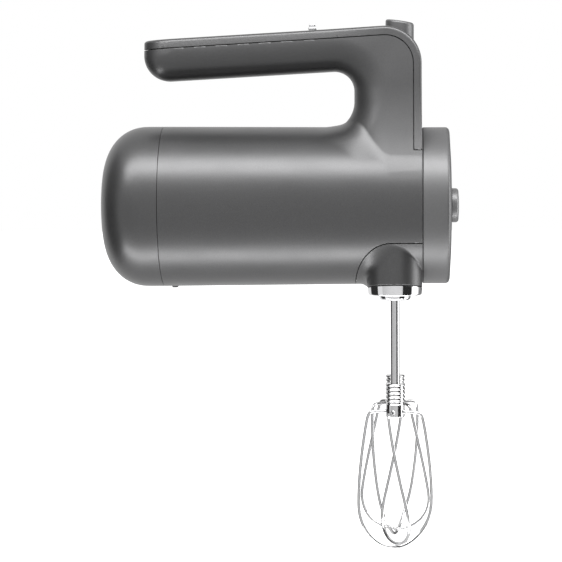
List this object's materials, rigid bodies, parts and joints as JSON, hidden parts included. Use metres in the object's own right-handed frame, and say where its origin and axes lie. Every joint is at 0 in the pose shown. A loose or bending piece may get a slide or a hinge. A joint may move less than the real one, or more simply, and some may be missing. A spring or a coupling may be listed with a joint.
{
  "type": "hand mixer",
  "caption": "Cordless barrel-bodied hand mixer with a cantilevered handle and counter-turning wire beaters that eject downwards.",
  "frame": {"origin": "centre of the flat heel at the rear of the barrel, on the barrel's axis", "axes": "+X towards the nose along the barrel, +Z towards the handle, +Y to the mixer's left"},
  "size_m": [0.219, 0.0986, 0.324],
  "materials": {
    "body_paint": "satin charcoal paint with a fine metallic flake",
    "trim": "satin moulded charcoal",
    "chrome": "polished chrome plating",
    "beater_steel": "polished stainless steel",
    "machined_steel": "machined",
    "bearing_bronze": "sintered",
    "gear_nylon": "moulded",
    "black_plastic": "moulded",
    "cast_alloy": "die cast",
    "magnet": "matte",
    "copper": "turned",
    "cell_wrap": "shrink wrap",
    "circuit_board": "solder mask",
    "rubber": "matte",
    "lens": "translucent"
  },
  "bodies": {
    "housing": {"housing_left": "body_paint", "housing_right": "body_paint", "top_cover": "body_paint", "rear_cap": "body_paint", "front_cover": "trim", "front_badge": "trim", "nose_cover": "body_paint", "nose_collar_left": "chrome", "nose_collar_right": "chrome", "upper_bushing_left": "bearing_bronze", "upper_bushing_right": "bearing_bronze", "lower_bushing_left": "bearing_bronze", "lower_bushing_right": "bearing_bronze", "gearbox_frame": "cast_alloy", "frame_screw_1": "machined_steel", "frame_screw_2": "machined_steel", "frame_screw_3": "machined_steel", "frame_screw_4": "machined_steel", "motor_screw_1": "machined_steel", "motor_screw_2": "machined_steel", "motor_can": "machined_steel", "motor_end_bell": "cast_alloy", "magnet_ring": "magnet", "motor_brush_1": "magnet", "motor_brush_2": "magnet", "rear_bearing": "bearing_bronze", "front_bearing": "bearing_bronze", "battery_case": "black_plastic", "battery_cell_1": "cell_wrap", "battery_cell_2": "cell_wrap", "battery_cell_3": "cell_wrap", "control_board": "circuit_board", "switch_board": "circuit_board", "charge_socket": "black_plastic", "indicator_lens": "lens"},
    "spindle_left": {"spindle_left": "beater_steel", "worm_wheel_left": "gear_nylon"},
    "spindle_right": {"spindle_right": "beater_steel", "worm_wheel_right": "gear_nylon"},
    "beater_left": {"beater_shaft_left": "beater_steel", "beater_sleeve_left": "beater_steel", "beater_wire_left_a": "beater_steel", "beater_wire_left_b": "beater_steel"},
    "beater_right": {"beater_shaft_right": "beater_steel", "beater_sleeve_right": "beater_steel", "beater_wire_right_a": "beater_steel", "beater_wire_right_b": "beater_steel"},
    "motor_rotor": {"motor_shaft": "machined_steel", "rotor_core": "machined_steel", "commutator": "copper", "worm": "machined_steel"},
    "ejector": {"ejector_button": "body_paint", "ejector_rod": "machined_steel", "ejector_spring": "machined_steel"},
    "speed_slider": {"speed_slider": "chrome", "slider_carriage": "black_plastic"},
    "charge_flap": {"charge_flap": "rubber"}
  },
  "joints": [
    {"name": "spindle_left_spin", "type": "hinge", "parent": "housing", "child": "spindle_left", "pos_m": [0.1795, 0.0248, 0], "axis": [0, 0, 1], "continuous": true},
    {"name": "spindle_right_spin", "type": "hinge", "parent": "housing", "child": "spindle_right", "pos_m": [0.1795, -0.0248, 0], "axis": [0, 0, 1], "continuous": true},
    {"name": "motor_spin", "type": "hinge", "parent": "housing", "child": "motor_rotor", "pos_m": [0, 0, 0], "axis": [1, 0, 0], "continuous": true},
    {"name": "beater_left_pull", "type": "slide", "parent": "spindle_left", "child": "beater_left", "axis": [0, 0, -1], "range_m": [0, 0.06]},
    {"name": "beater_right_pull", "type": "slide", "parent": "spindle_right", "child": "beater_right", "axis": [0, 0, -1], "range_m": [0, 0.06]},
    {"name": "ejector_press", "type": "slide", "parent": "housing", "child": "ejector", "axis": [0, 0, -1], "range_m": [0, 0.005], "stiffness_N_per_m": 600, "springref_m": -0.004, "deforming": ["ejector_spring"]},
    {"name": "speed_slide", "type": "slide", "parent": "housing", "child": "speed_slider", "axis": [0.9986, 0, 0.0523], "range_m": [0, 0.032]},
    {"name": "charge_flap_hinge", "type": "hinge", "parent": "housing", "child": "charge_flap", "pos_m": [0.0619, 0, -0.0491], "axis": [0, -1, 0], "range_deg": [0, 110]}
  ],
  "couplings": [
    {"joint": "spindle_right_spin", "follows": "spindle_left_spin", "ratio": -1},
    {"joint": "motor_spin", "follows": "spindle_left_spin", "ratio": -14}
  ]
}
